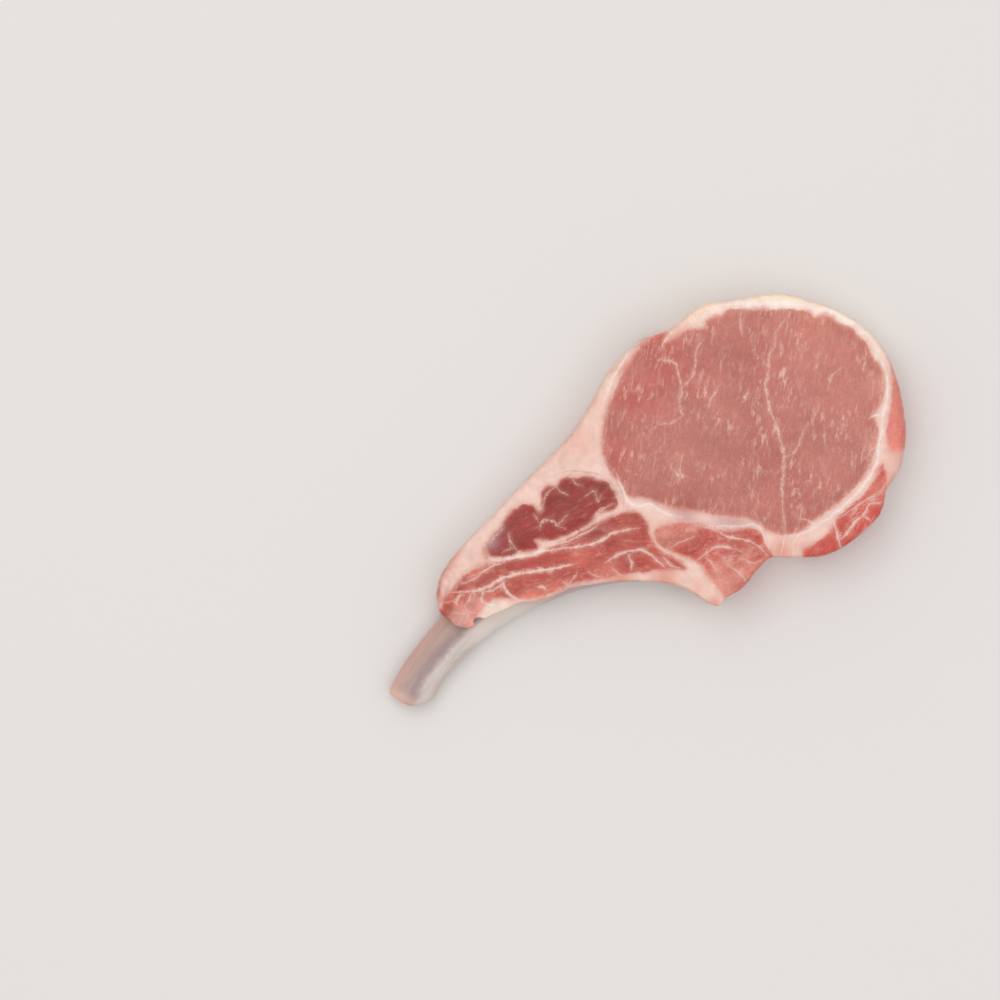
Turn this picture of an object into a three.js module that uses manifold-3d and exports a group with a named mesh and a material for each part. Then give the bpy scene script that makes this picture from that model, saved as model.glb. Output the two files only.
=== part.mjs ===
// A raw rib pork chop with its bone in, lying on one of its two flat cut faces.
// A sawn slab of loin: the pale eye of the loin, a small dark muscle beside it, streaked meat along
// the rib and two thin muscles at the lower and right edges, all held in one layer of fat. The rib
// runs under the lower edge and stands out bare at the lower left.
// Millimetres. +X is the chop's long way, towards the eye; +Z is up, away from the face it lies on.
// The origin is the centre of the chop's outer box, at the level of that face.

import * as THREE from "three";
import { mergeVertices } from "three/addons/utils/BufferGeometryUtils.js";
import Module from "manifold-3d";

const wasm = await Module();
wasm.setup();

// Driving sizes
const THICKNESS = 19; // between the two cut faces, at the eye
const TAIL_DROP = 3.5; // how much thinner the streaked end is
const TAIL_DROP_FROM = 15; // where the slab starts to thin, from the eye's middle
const TAIL_DROP_TO = 90; // where it has thinned in full
const CROWN_RUN = 4; // how far from its edge a muscle has risen to its full crown
const SEAM_GAP = 0.3; // clearance between neighbouring pieces
const SIDE_SQUARENESS = 0.62; // 1 gives an elliptical side, less a flatter one with rounder corners

// Resolution
const STATIONS = 64; // cross-sections along the slab
const TOP_STEPS = 20; // steps across the upper face
const SIDE_STEPS = 6; // steps down each side
const BASE_STEPS = 6; // steps across the lower face
const OUTLINE_STEPS = 72; // steps round a muscle's outline
const BONE_STATIONS = 30;
const BONE_STEPS = 16; // steps round the bone
const BONE_END_STEPS = 3; // steps over each rounded end

// The slab's outline, clockwise from above, starting at the streaked tail's tip. Each point is x, y and
// how far the cut face's edge lies inside the widest part of the side there: little at a crisp
// corner, more where the fat is rounded or the meat bulges.
const SLAB = [
  [-55.5, -37.8, 1.0],
  [-60.3, -35.1, 1.2],
  [-63.6, -30.0, 2.0],
  [-62.1, -22.2, 2.5],
  [-55.5, -13.5, 2.5],
  [-46.5, -4.2, 3.0],
  [-35.7, 7.2, 3.0],
  [-24.3, 18.6, 3.2],
  [-17.4, 28.5, 3.2],
  [-11.7, 38.7, 3.0],
  [-2.1, 48.0, 2.5],
  [7.8, 52.2, 2.5],
  [15.0, 57.9, 3.2],
  [26.4, 60.3, 3.5],
  [38.4, 62.0, 3.5],
  [49.5, 59.7, 3.2],
  [60.9, 54.6, 3.0],
  [68.7, 48.0, 2.4],
  [72.9, 41.1, 2.4],
  [76.2, 30.9, 4.2],
  [77.4, 19.2, 4.6],
  [75.9, 9.6, 3.2],
  [72.0, 3.3, 2.0],
  [69.6, -4.5, 1.8],
  [61.5, -12.3, 1.8],
  [53.1, -16.8, 1.8],
  [43.5, -17.4, 1.5],
  [36.6, -17.6, 1.0],
  [33.0, -21.0, 1.2],
  [28.2, -26.7, 1.2],
  [24.0, -29.1, 0.8],
  [21.0, -31.8, 0.5],
  [16.8, -30.0, 0.9],
  [10.5, -26.4, 1.5],
  [0.9, -24.6, 1.5],
  [-11.7, -24.9, 1.5],
  [-23.1, -26.7, 1.5],
  [-33.6, -30.3, 1.5],
  [-43.2, -31.8, 1.5],
  [-48.9, -35.4, 1.2],
  [-51.9, -38.1, 0.7],
];
const FAR_END = 20; // the slab's point furthest from the tail, where its two long edges meet

// The muscles, each an outline that runs through the slab's full thickness. An outline that passes the
// slab's own edge is cut off there, so that muscle shows on the side. The crown is how far the
// muscle stands proud of the fat around it.
const MUSCLES = {
  loin_eye: {
    crown: 0.9,
    colour: 0xc5786d,
    outline: [
      [-13.8, 16.2],
      [-12.3, 25.8],
      [-9.0, 34.2],
      [-3.9, 44.1],
      [5.1, 50.1],
      [15.0, 52.8],
      [22.5, 56.1],
      [33.9, 57.0],
      [45.9, 56.7],
      [56.7, 54.0],
      [63.9, 47.7],
      [68.7, 39.0],
      [70.2, 30.6],
      [67.5, 22.8],
      [67.5, 14.4],
      [63.6, 4.2],
      [55.8, -3.6],
      [46.8, -9.3],
      [37.5, -9.0],
      [26.4, -6.0],
      [14.1, -4.5],
      [5.1, -3.3],
      [-0.3, 0.6],
      [-6.9, 3.0],
      [-11.7, 9.9],
    ],
  },
  dark_muscle: {
    crown: 0.7,
    colour: 0xa94f4a,
    outline: [
      [-47.7, -14.7],
      [-45.3, -9.0],
      [-40.2, -3.3],
      [-33.9, -1.2],
      [-30.0, 3.3],
      [-23.7, 6.6],
      [-15.9, 6.9],
      [-10.8, 3.3],
      [-9.0, -0.9],
      [-12.9, -4.2],
      [-17.7, -6.6],
      [-23.7, -9.9],
      [-30.9, -12.3],
      [-35.1, -15.0],
      [-42.3, -17.1],
      [-47.1, -17.1],
    ],
  },
  rib_meat: {
    crown: 0.6,
    colour: 0xc4594f,
    outline: [
      [-3.3, -3.3],
      [0.0, -6.0],
      [1.5, -10.8],
      [3.6, -14.7],
      [8.7, -16.8],
      [11.7, -21.3],
      [10.2, -34.0],
      [-26.0, -40.0],
      [-55.5, -46.0],
      [-66.0, -38.0],
      [-61.5, -31.8],
      [-60.0, -28.8],
      [-57.3, -25.8],
      [-54.3, -22.2],
      [-46.5, -18.9],
      [-38.1, -18.0],
      [-30.5, -14.6],
      [-24.0, -12.0],
      [-18.5, -9.4],
      [-14.3, -7.4],
      [-9.3, -5.0],
    ],
  },
  inner_muscle: {
    crown: 0.6,
    colour: 0xcb6056,
    outline: [
      [4.2, -10.2],
      [8.7, -8.4],
      [15.9, -8.4],
      [22.5, -9.3],
      [30.9, -8.4],
      [33.9, -10.2],
      [35.1, -13.5],
      [37.5, -16.8],
      [42.0, -24.0],
      [31.5, -33.5],
      [25.8, -33.6],
      [22.2, -28.2],
      [18.3, -23.4],
      [14.7, -19.8],
      [9.9, -15.6],
      [6.3, -14.1],
    ],
  },
  side_muscle: {
    crown: 0.4,
    colour: 0xcf5f52,
    outline: [
      [46.2, -15.3],
      [52.5, -12.0],
      [57.3, -6.9],
      [63.0, -2.4],
      [67.5, 1.8],
      [70.2, 6.6],
      [72.3, 11.4],
      [77.1, 13.2],
      [82.0, 9.0],
      [77.0, -8.0],
      [65.7, -17.0],
      [53.7, -22.0],
      [47.7, -19.8],
    ],
  },
};

// The rib, from its bare sawn tip to its hidden end: x, y, height of the middle, half width, half depth.
// The middle lies lower than the half depth, and the underside is flat where it would pass the base.
const RIB = [
  [-72.3, -61.0, 3.9, 6.2, 4.2],
  [-66.1, -50.4, 4.0, 6.5, 4.4],
  [-60.1, -43.2, 4.1, 6.7, 4.5],
  [-53.5, -36.5, 4.1, 7.2, 4.6],
  [-45.3, -30.6, 4.1, 7.2, 4.6],
  [-35.1, -25.5, 4.0, 7.0, 4.5],
  [-23.1, -21.3, 3.9, 6.6, 4.3],
  [-11.1, -19.2, 3.8, 6.2, 4.2],
  [0.9, -18.9, 3.7, 5.6, 4.1],
  [10.5, -21.0, 3.5, 4.4, 3.9],
];
const RIB_SECTION_POWER = 0.85; // under 1, a section between an oval and a box
const RIB_END_ROUNDING = 3; // how far the sawn and the hidden end are rounded over
const RIB_END_SHARE = 0.62; // size of the end faces, as a share of the full section
const RIB_TIP_SLANT = 0.3; // lean of the sawn tip: along the rib per unit across it
const RIB_SLANT_RUN = 14; // how far from the tip the sections are square to the rib again

const FAT_COLOUR = 0xead0bf;
const BONE_COLOUR = 0xb9a59c;

const smoothstep = (from, to, x) => {
  const t = THREE.MathUtils.clamp((x - from) / (to - from), 0, 1);
  return t * t * (3 - 2 * t);
};
const signedPower = (x, power) => Math.sign(x) * Math.abs(x) ** power;

// Points at equal spacing along a polyline, both ends included.
function evenly(points, steps) {
  const path = new THREE.CurvePath();
  for (let i = 1; i < points.length; i++)
    path.add(new THREE.LineCurve3(points[i - 1], points[i]));
  return Array.from({ length: steps + 1 }, (_, i) =>
    path.getPointAt(i / steps),
  );
}

// A smooth closed curve through the given points.
const closedCurve = (points) =>
  new THREE.CatmullRomCurve3(
    points.map(([x, y, z = 0]) => new THREE.Vector3(x, y, z)),
    true,
    "centripetal",
  );

// A muscle's outline as a smooth closed polygon, grown outwards by the given distance.
function outlinePolygon(outline, grow = 0) {
  const curve = closedCurve(outline);
  return Array.from({ length: OUTLINE_STEPS }, (_, i) => {
    const at = curve.getPointAt(i / OUTLINE_STEPS);
    const along = curve.getTangentAt(i / OUTLINE_STEPS);
    return new THREE.Vector2(at.x - along.y * grow, at.y + along.x * grow);
  });
}

// How far a point lies inside a polygon, and 0 outside it.
function depthInside(polygon, x, y) {
  let inside = false;
  let nearest = Infinity;
  polygon.forEach((b, i) => {
    const a = polygon.at(i - 1);
    if (a.y > y !== b.y > y && x < a.x + ((y - a.y) * (b.x - a.x)) / (b.y - a.y))
      inside = !inside;
    const run = b.clone().sub(a);
    const share = THREE.MathUtils.clamp(
      ((x - a.x) * run.x + (y - a.y) * run.y) / run.lengthSq(),
      0,
      1,
    );
    nearest = Math.min(
      nearest,
      Math.hypot(x - a.x - share * run.x, y - a.y - share * run.y),
    );
  });
  return inside ? nearest : 0;
}

// The height of the upper cut face: the slab's thickness, falling towards the tail, and each muscle's crown.
const EYE_MIDDLE = new THREE.Vector2(29, 24);
const TAIL_WAY = new THREE.Vector2(-55.5, -37.8).sub(EYE_MIDDLE).normalize();
const CROWNED = Object.values(MUSCLES).map(({ crown, outline }) => ({
  crown,
  polygon: outlinePolygon(outline),
}));
function topHeight(x, y) {
  const towardsTail = new THREE.Vector2(x, y).sub(EYE_MIDDLE).dot(TAIL_WAY);
  const slab =
    THICKNESS -
    TAIL_DROP * smoothstep(TAIL_DROP_FROM, TAIL_DROP_TO, towardsTail);
  return CROWNED.reduce(
    (height, { crown, polygon }) =>
      height + crown * smoothstep(0, CROWN_RUN, depthInside(polygon, x, y)),
    slab,
  );
}

// A closed geometry from cross-sections that all have the same number of points, each a closed loop.
// The first and last loops are closed with a fan, which vanishes where the loop is flat.
function loft(loops) {
  const round = loops[0].length;
  const middle = (loop) =>
    loop
      .reduce((sum, p) => sum.add(p), new THREE.Vector3())
      .divideScalar(loop.length);
  const points = [...loops.flat(), middle(loops[0]), middle(loops.at(-1))];
  const firstMiddle = loops.length * round;
  const at = (loop, step) => loop * round + (step % round);
  const index = [];
  for (let step = 0; step < round; step++) {
    for (let loop = 1; loop < loops.length; loop++)
      index.push(
        at(loop - 1, step),
        at(loop - 1, step + 1),
        at(loop, step + 1),
        at(loop - 1, step),
        at(loop, step + 1),
        at(loop, step),
      );
    index.push(firstMiddle, at(0, step + 1), at(0, step));
    index.push(
      firstMiddle + 1,
      at(loops.length - 1, step),
      at(loops.length - 1, step + 1),
    );
  }
  return new THREE.BufferGeometry().setFromPoints(points).setIndex(index);
}

// The slab without its bone. A cross-section joins two points of the outline, one on each long edge: over
// the upper face, down the lower edge's side, back under the base and up the upper edge's side.
function slabGeometry() {
  const curve = closedCurve(SLAB);
  const fine = SLAB.map((_, i) =>
    Array.from({ length: 8 }, (_, k) => curve.getPoint((i + k / 8) / SLAB.length)),
  );
  const rest = fine.slice(FAR_END).flat();
  const upper = evenly(
    [...fine.slice(0, FAR_END).flat(), fine[FAR_END][0]],
    STATIONS,
  );
  const lower = evenly([...rest, fine[0][0]], STATIONS).reverse();

  // The inward direction, level, at each point of an edge.
  const inward = (edge, i, side) => {
    const before = edge[Math.max(i - 1, 0)];
    const after = edge[Math.min(i + 1, STATIONS)];
    return new THREE.Vector3(after.y - before.y, before.x - after.x, 0)
      .normalize()
      .multiplyScalar(side);
  };
  // Down one side, from the edge of the upper face to the edge of the base.
  const sideOf = (edge, i, side) => {
    const bulge = edge[i].z;
    const isTip = i === 0 || i === STATIONS;
    const way = isTip
      ? new THREE.Vector3(Math.sign(STATIONS / 2 - i), 0, 0)
      : inward(edge, i, side);
    const rim = edge[i].clone().setZ(0);
    const cut = rim.clone().addScaledVector(way, bulge);
    const height = topHeight(cut.x, cut.y);
    return Array.from({ length: SIDE_STEPS + 1 }, (_, k) => {
      const angle = Math.PI * (0.5 - k / SIDE_STEPS);
      const inset = bulge * (1 - signedPower(Math.cos(angle), SIDE_SQUARENESS));
      const level = 0.5 + 0.5 * signedPower(Math.sin(angle), SIDE_SQUARENESS);
      return rim.clone().addScaledVector(way, inset).setZ(height * level);
    });
  };
  const across = (from, to, steps, heightAt) =>
    Array.from({ length: steps - 1 }, (_, k) => {
      const p = from.clone().lerp(to, (k + 1) / steps);
      return p.setZ(heightAt(p.x, p.y));
    });
  return loft(
    Array.from({ length: STATIONS + 1 }, (_, i) => {
      const far = sideOf(upper, i, 1);
      const near = sideOf(lower, i, -1);
      return [
        ...across(far[0], near[0], TOP_STEPS, topHeight),
        ...near,
        ...across(near.at(-1), far.at(-1), BASE_STEPS, () => 0),
        ...far.reverse(),
      ];
    }),
  );
}

// The rib: an oval section carried along its path and rounded over at both ends. The pocket for it in
// the meat is the same shape grown by the given distance, and goes through the base.
function ribGeometry(grow = 0) {
  const path = new THREE.CatmullRomCurve3(
    RIB.map(([x, y, z]) => new THREE.Vector3(x, y, z)),
    false,
    "centripetal",
  );
  const sizes = new THREE.CatmullRomCurve3(
    RIB.map(([, , , width, depth]) => new THREE.Vector3(width, depth, 0)),
    false,
    "centripetal",
  );
  const length = path.getLength();
  const lowest = grow > 0 ? -THICKNESS : 0;
  const section = (t, share, shift) => {
    const along = path.getTangent(t).setZ(0).normalize();
    const middle = path.getPoint(t).addScaledVector(along, shift);
    const aside = new THREE.Vector3(-along.y, along.x, 0);
    const slant = RIB_TIP_SLANT * (1 - smoothstep(0, RIB_SLANT_RUN / length, t));
    const { x: halfWidth, y: halfDepth } = sizes.getPoint(t);
    return Array.from({ length: BONE_STEPS }, (_, k) => {
      const angle = (2 * Math.PI * k) / BONE_STEPS;
      const wide =
        signedPower(Math.cos(angle), RIB_SECTION_POWER) * (halfWidth * share + grow);
      const deep =
        signedPower(Math.sin(angle), RIB_SECTION_POWER) * (halfDepth * share + grow);
      return middle
        .clone()
        .addScaledVector(aside, wide)
        .addScaledVector(along, -wide * slant)
        .setZ(Math.max(middle.z + deep, lowest));
    });
  };
  const rounding = RIB_END_ROUNDING / length;
  const endStations = Array.from({ length: BONE_END_STEPS }, (_, i) => {
    const turn = (Math.PI / 2) * (i / BONE_END_STEPS);
    return {
      t: rounding * (1 - Math.cos(turn)),
      share: 1 - (1 - RIB_END_SHARE) * (1 - Math.sin(turn)),
    };
  });
  return loft([
    ...endStations.map(({ t, share }) => section(t, share, -grow)),
    ...Array.from({ length: BONE_STATIONS + 1 }, (_, i) =>
      section(rounding + ((1 - 2 * rounding) * i) / BONE_STATIONS, 1, 0),
    ),
    ...endStations.reverse().map(({ t, share }) => section(1 - t, share, grow)),
  ]);
}

// A closed geometry as a solid, with its shared vertices merged and its flat triangles dropped.
function solidOf(geometry) {
  const bare = new THREE.BufferGeometry()
    .setAttribute("position", geometry.getAttribute("position"))
    .setIndex(geometry.getIndex());
  const merged = mergeVertices(bare, 1e-4);
  const corners = merged.getIndex().array;
  const kept = [];
  for (let i = 0; i < corners.length; i += 3) {
    const [a, b, c] = corners.slice(i, i + 3);
    if (a !== b && b !== c && c !== a) kept.push(a, b, c);
  }
  return new wasm.Manifold(
    new wasm.Mesh({
      numProp: 3,
      vertProperties: merged.getAttribute("position").array,
      triVerts: new Uint32Array(kept),
    }),
  );
}

// A muscle's outline carried straight up through the slab, and past both of its faces.
function columnSolid(outline, grow) {
  const shape = new THREE.Shape(outlinePolygon(outline, grow));
  const column = new THREE.ExtrudeGeometry(shape, {
    depth: THICKNESS * 2,
    bevelEnabled: false,
  });
  return solidOf(column.translate(0, 0, -THICKNESS / 2));
}

function meshOf(name, solid, colour, roughness) {
  const { vertProperties, triVerts } = solid.getMesh();
  const geometry = new THREE.BufferGeometry()
    .setAttribute("position", new THREE.BufferAttribute(vertProperties, 3))
    .setIndex(new THREE.BufferAttribute(triVerts, 1));
  geometry.computeVertexNormals();
  const material = new THREE.MeshStandardMaterial({
    color: colour,
    roughness,
    metalness: 0,
  });
  const mesh = new THREE.Mesh(geometry, material);
  mesh.name = name;
  return mesh;
}

const chop = new THREE.Group();
const slab = solidOf(slabGeometry()).subtract(solidOf(ribGeometry(SEAM_GAP)));
let fat = slab;
for (const [name, { outline, colour }] of Object.entries(MUSCLES)) {
  chop.add(meshOf(name, slab.intersect(columnSolid(outline, 0)), colour, 0.4));
  fat = fat.subtract(columnSolid(outline, SEAM_GAP));
}
chop.add(meshOf("fat_layer", fat, FAT_COLOUR, 0.45));
chop.add(meshOf("rib_bone", solidOf(ribGeometry()), BONE_COLOUR, 0.5));

export default chop;
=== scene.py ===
import math
import bmesh
import bpy
import numpy as np
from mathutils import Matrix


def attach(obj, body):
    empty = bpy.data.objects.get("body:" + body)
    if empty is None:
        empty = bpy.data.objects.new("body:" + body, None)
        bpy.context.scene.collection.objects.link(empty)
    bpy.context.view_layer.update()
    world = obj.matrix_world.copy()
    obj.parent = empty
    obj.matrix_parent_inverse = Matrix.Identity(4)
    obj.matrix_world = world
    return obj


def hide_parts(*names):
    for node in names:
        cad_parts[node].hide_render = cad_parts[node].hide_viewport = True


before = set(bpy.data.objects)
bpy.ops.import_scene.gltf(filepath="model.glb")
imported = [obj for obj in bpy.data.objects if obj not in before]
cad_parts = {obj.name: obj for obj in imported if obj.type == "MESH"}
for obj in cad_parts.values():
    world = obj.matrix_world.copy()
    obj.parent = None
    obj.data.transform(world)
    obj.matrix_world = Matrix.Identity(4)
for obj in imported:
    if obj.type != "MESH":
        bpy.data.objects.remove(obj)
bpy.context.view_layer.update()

# The meat: one sawn slab of loin. A big pale muscle, a small dark one, streaked meat along the rib and
# two thin muscles at the edges, grown together in one layer of fat. It is cut square through, so
# the same pattern shows on both faces, and its sides bulge a little. Sizes are in millimetres.
THICKNESS, HIGHEST = 19, 19.85
EYE_MIDDLE, TAIL_END = (29, 24), (-55.5, -37.8)
TAIL_DROP, TAIL_DROP_FROM, TAIL_DROP_TO = 3.5, 15, 90
CROWN_RUN, BORDER_GROOVE, SEAM_GROOVE = 4, 0.12, 0.12
SWELL, FINE_SWELL = 0.16, 0.05
TAIL_LUMPS, TAIL_FINE_LUMPS, TAIL_SINK = 0.8, 0.32, 0.45
SIDE_SQUARENESS, SIDE_RUN, SIDE_END_RUN = 0.52, 230, 8
DENT_LEAST, DENT_DEPTH = 0.12, 0.3
LINE_STEPS, RIB_LINE_STEPS, OUTLINE_STEPS, OUTLINE_REACH = 6, 10, 24, 20
STATIONS, TOP_STEPS, SIDE_STEPS, BASE_STEPS = 460, 112, 20, 52
# The slab's outline where it is widest: x, y, and how far its side bulges there.
SLAB = [
    (-55.3, -38.1, 0.7), (-57.4, -37.6, 0.7), (-58.9, -36.2, 0.7), (-60.0, -35.0, 0.8), (-61.7, -34.4, 1.0),
    (-62.7, -32.9, 1.2), (-62.9, -31.0, 1.6), (-63.4, -28.6, 2.0), (-62.1, -22.6, 2.5), (-55.5, -13.5, 2.5),
    (-46.5, -4.2, 3.0), (-35.7, 7.2, 3.0), (-24.3, 18.6, 3.2), (-17.4, 28.5, 3.2), (-11.7, 38.7, 3.0),
    (-2.1, 48.0, 2.4), (7.8, 52.2, 2.2), (15.0, 57.9, 2.4), (26.4, 60.3, 2.6), (38.4, 61.98, 2.6),
    (49.5, 59.7, 2.4), (60.9, 54.6, 2.3), (68.7, 48.0, 2.2), (72.9, 41.1, 2.4), (76.2, 30.9, 4.0),
    (77.37, 19.2, 4.2), (75.9, 9.6, 3.2), (72.0, 3.3, 2.0), (69.6, -4.5, 1.8), (61.5, -12.3, 1.8),
    (53.1, -16.8, 1.8), (43.5, -17.4, 1.5), (36.6, -17.6, 1.0), (33.0, -21.0, 1.2), (28.2, -26.7, 1.2),
    (24.0, -29.1, 0.8), (21.0, -31.8, 0.5), (16.8, -30.0, 0.9), (10.5, -26.4, 1.5), (0.9, -24.6, 1.5),
    (-11.7, -24.9, 1.5), (-23.1, -26.7, 1.5), (-29.4, -29.5, 1.3), (-33.6, -30.6, 1.2), (-38.1, -30.9, 1.0),
    (-42.8, -33.2, 0.8), (-46.2, -34.5, 0.8), (-48.2, -35.6, 0.7), (-50.6, -35.4, 0.6), (-51.9, -36.1, 0.6),
    (-51.4, -37.3, 0.6), (-52.6, -38.4, 0.6),
]
# The muscles: how far each is crowned over the slab's face, and its outline.
MUSCLES = {
    "eye": (0.9, [
        (-13.8, 16.2), (-13.2, 23.0), (-11.4, 29.1), (-8.7, 35.4), (-5.6, 41.2), (-1.6, 46.7),
        (2.6, 49.4), (5.8, 50.2), (6.4, 49.2), (5.2, 47.8), (6.2, 47.4), (8.8, 49.2), (12.3, 50.8),
        (16.8, 51.5), (17.6, 53.6), (19.5, 54.7), (21.8, 55.0), (23.6, 56.6), (33.9, 57.0), (45.9, 56.6),
        (48.6, 56.2), (49.4, 54.8), (53.6, 55.2), (57.6, 52.4), (60.9, 51.4), (62.6, 49.0), (65.2, 47.2),
        (66.4, 43.6), (69.6, 39.6), (70.6, 34.2), (69.9, 29.6), (67.6, 25.2), (68.7, 20.6), (67.4, 13.4),
        (65.1, 8.2), (58.3, 0.2), (51.1, -4.9), (45.6, -9.2), (39.3, -10.3), (34.2, -8.1), (30.6, -5.7),
        (23.0, -4.7), (15.9, -3.7), (8.4, -2.7), (5.2, -1.9), (2.4, -1.0), (0.4, 0.2), (-3.6, 0.6),
        (-6.1, 1.4), (-8.1, 4.8), (-11.1, 8.2), (-12.9, 12.0)]),
    "dark": (0.7, [
        (-48.2, -15.8), (-48.4, -13.8), (-47.1, -11.5), (-44.6, -8.5), (-42.6, -5.5), (-40.1, -3.0),
        (-37.1, -1.3), (-34.8, -1.3), (-33.4, -2.0), (-32.4, -3.2), (-31.7, -2.2), (-31.9, 0.0),
        (-31.6, 2.5), (-30.1, 4.0), (-27.6, 4.5), (-26.4, 6.0), (-24.1, 6.9), (-22.1, 6.4), (-19.1, 7.0),
        (-15.1, 6.4), (-12.1, 5.2), (-10.1, 3.0), (-9.2, 0.5), (-9.0, -1.7), (-10.8, -3.2), (-13.3, -3.7),
        (-15.2, -4.3), (-16.1, -6.0), (-18.1, -7.5), (-20.8, -9.0), (-24.1, -10.7), (-28.1, -11.9),
        (-31.6, -12.2), (-33.4, -12.2), (-32.4, -13.2), (-32.9, -14.8), (-35.6, -15.6), (-38.6, -15.8),
        (-39.9, -16.5), (-42.6, -17.0), (-46.1, -17.1)]),
    "rib_meat": (0.6, [
        (-4.6, -3.4), (-1.8, -4.4), (-0.2, -6.8), (0.6, -9.6), (2.0, -12.8), (4.2, -15.2), (8.4, -17.4),
        (11.4, -20.6), (6.0, -20.9), (0.0, -21.6), (-5.0, -21.8), (-11.0, -23.4), (-20.0, -24.7),
        (-27.0, -27.3), (-33.0, -29.3), (-40.0, -29.6), (-44.8, -29.4), (-48.4, -31.2), (-50.4, -33.6),
        (-51.0, -36.4), (-55.5, -46.0), (-66.0, -38.0), (-61.5, -31.8), (-60.0, -28.8), (-57.3, -25.8),
        (-54.3, -22.2), (-48.6, -19.6), (-42.6, -18.0), (-36.6, -17.1), (-30.6, -15.2), (-25.6, -12.4),
        (-22.1, -10.6), (-18.1, -8.6), (-15.1, -6.9), (-12.1, -5.4), (-8.6, -4.2)]),
    "inner": (0.6, [
        (2.0, -9.4), (3.4, -7.9), (9.4, -6.8), (15.9, -7.0), (22.5, -9.3), (30.9, -8.4), (33.9, -10.2),
        (35.1, -13.5), (37.5, -16.8), (42.0, -24.0), (31.5, -33.5), (25.8, -33.6), (22.2, -28.2),
        (18.3, -23.4), (15.4, -19.0), (11.4, -17.2), (7.4, -15.6), (4.4, -14.2), (2.4, -12.0)]),
    "side": (0.4, [
        (46.2, -15.3), (51.6, -11.8), (55.2, -7.8), (57.0, -4.6), (60.6, -1.6), (64.5, 1.8), (67.4, 5.8),
        (69.0, 9.6), (70.0, 11.2), (70.8, 8.4), (71.1, 4.6), (70.9, 1.6), (73.0, 0.4), (79.0, -4.0),
        (77.0, -8.0), (65.7, -17.0), (53.7, -22.0), (47.7, -19.8)]),
    "rim": (0.0, [
        (72.0, 44.5), (77.0, 40.0), (82.0, 28.0), (81.0, 16.5), (76.6, 15.0), (72.4, 14.6), (71.4, 16.8),
        (71.1, 20.6), (71.6, 24.2), (72.4, 29.2), (72.6, 33.6), (72.9, 37.8), (72.6, 41.6)]),
    "tail_strip": (0.0, [
        (-67.0, -32.0), (-66.0, -22.0), (-60.5, -15.0), (-57.0, -12.0), (-56.2, -15.2), (-59.7, -20.4),
        (-61.5, -25.2), (-62.1, -30.0)]),
}
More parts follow.
